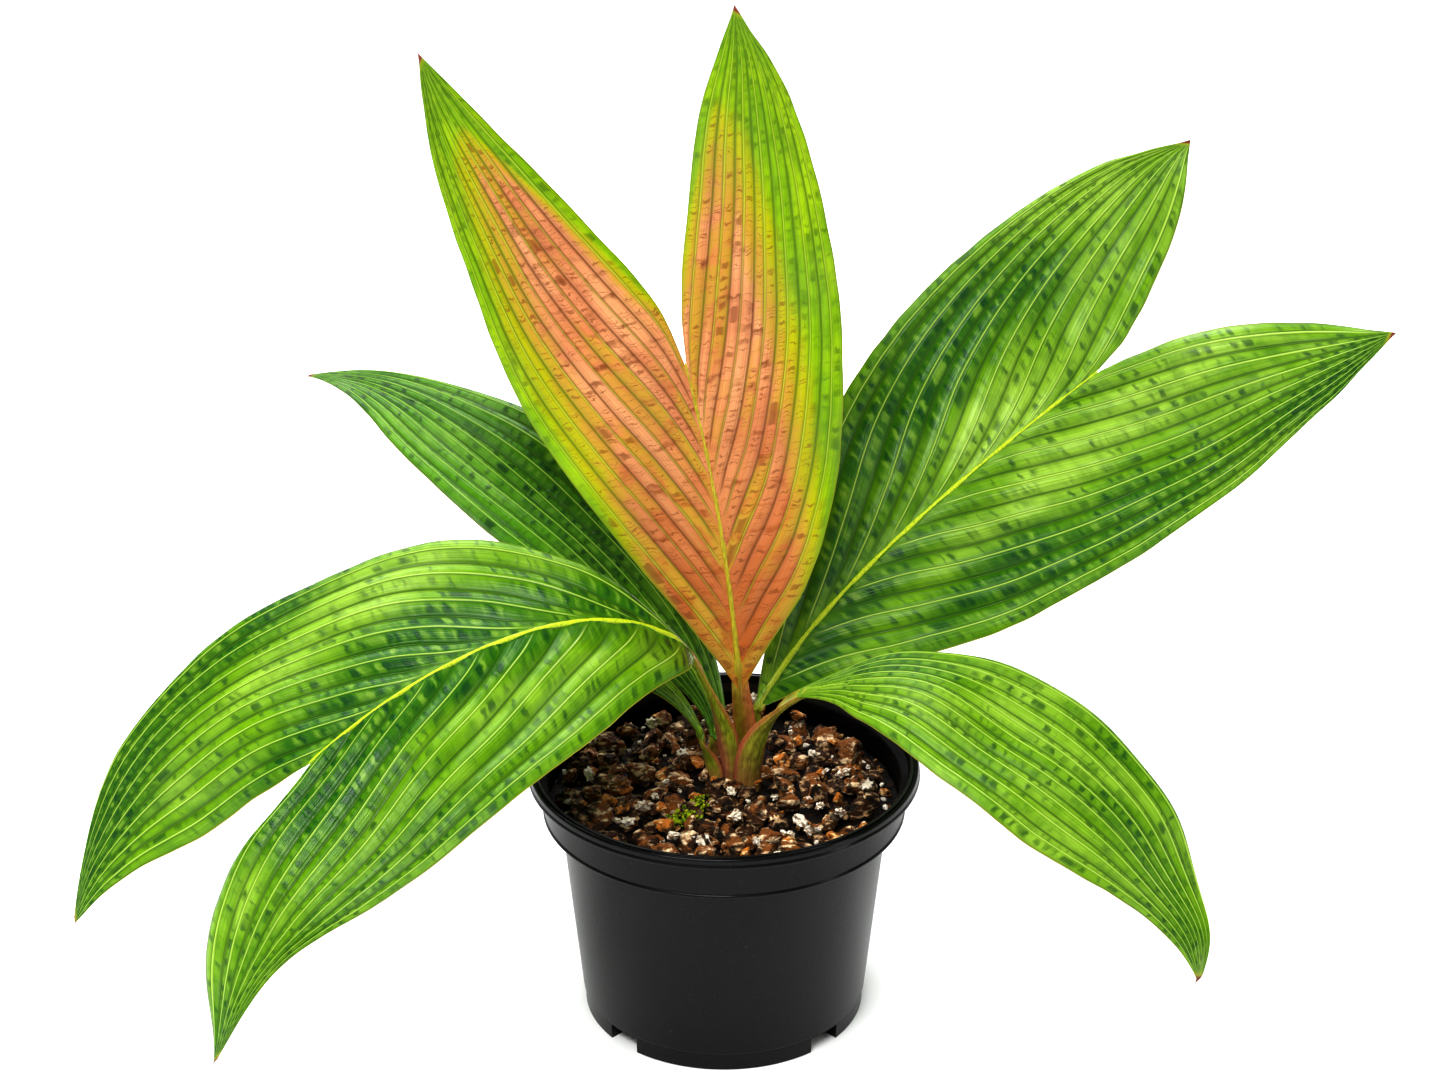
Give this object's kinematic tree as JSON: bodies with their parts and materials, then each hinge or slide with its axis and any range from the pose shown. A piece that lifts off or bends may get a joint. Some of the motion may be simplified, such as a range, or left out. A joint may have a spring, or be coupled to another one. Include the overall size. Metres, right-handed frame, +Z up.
{
  "type": "potted calyptrocalyx palm",
  "caption": "Young understorey palm with pleated fronds, some forked and some undivided, on short stalks in a filled round nursery pot that stands on its flat foot.",
  "frame": {"origin": "centre of the pot's flat foot, at the level that the pot stands on", "axes": "+Z up out of the pot, +X to the right and +Y away from a viewer in front of the plant"},
  "size_m": [0.5548, 0.3034, 0.4195],
  "materials": {
    "pot_plastic": "matte black moulded plastic with a soft sheen",
    "potting_mix": "moist dark bark chunks, fine fibre and white perlite grains",
    "stem_fibre": "brown fibrous stock under the mix",
    "stalk_green": "satin olive-green sheath and stalk with reddish edges",
    "leaf_green": "satin bright green pleated blade with darker mottling",
    "leaf_dark": "satin deep green pleated blade",
    "leaf_young": "soft salmon-orange young blade with olive-green ribs and edges"
  },
  "bodies": {
    "root": {"pot": "pot_plastic", "soil": "potting_mix", "stem": "stem_fibre", "stalk_young_upright": "stalk_green", "frond_young_upright_left": "leaf_young", "frond_young_upright_right": "leaf_young", "stalk_back_right": "stalk_green", "frond_back_right_upper": "leaf_green", "frond_back_right_lower": "leaf_green", "stalk_front_left": "stalk_green", "frond_front_left_upper": "leaf_green", "frond_front_left_lower": "leaf_green", "stalk_back_left": "stalk_green", "frond_back_left_blade": "leaf_dark", "stalk_front_right": "stalk_green", "frond_front_right_blade": "leaf_green", "stalk_low_left": "stalk_green", "frond_low_left_blade": "leaf_green"}
  },
  "joints": []
}
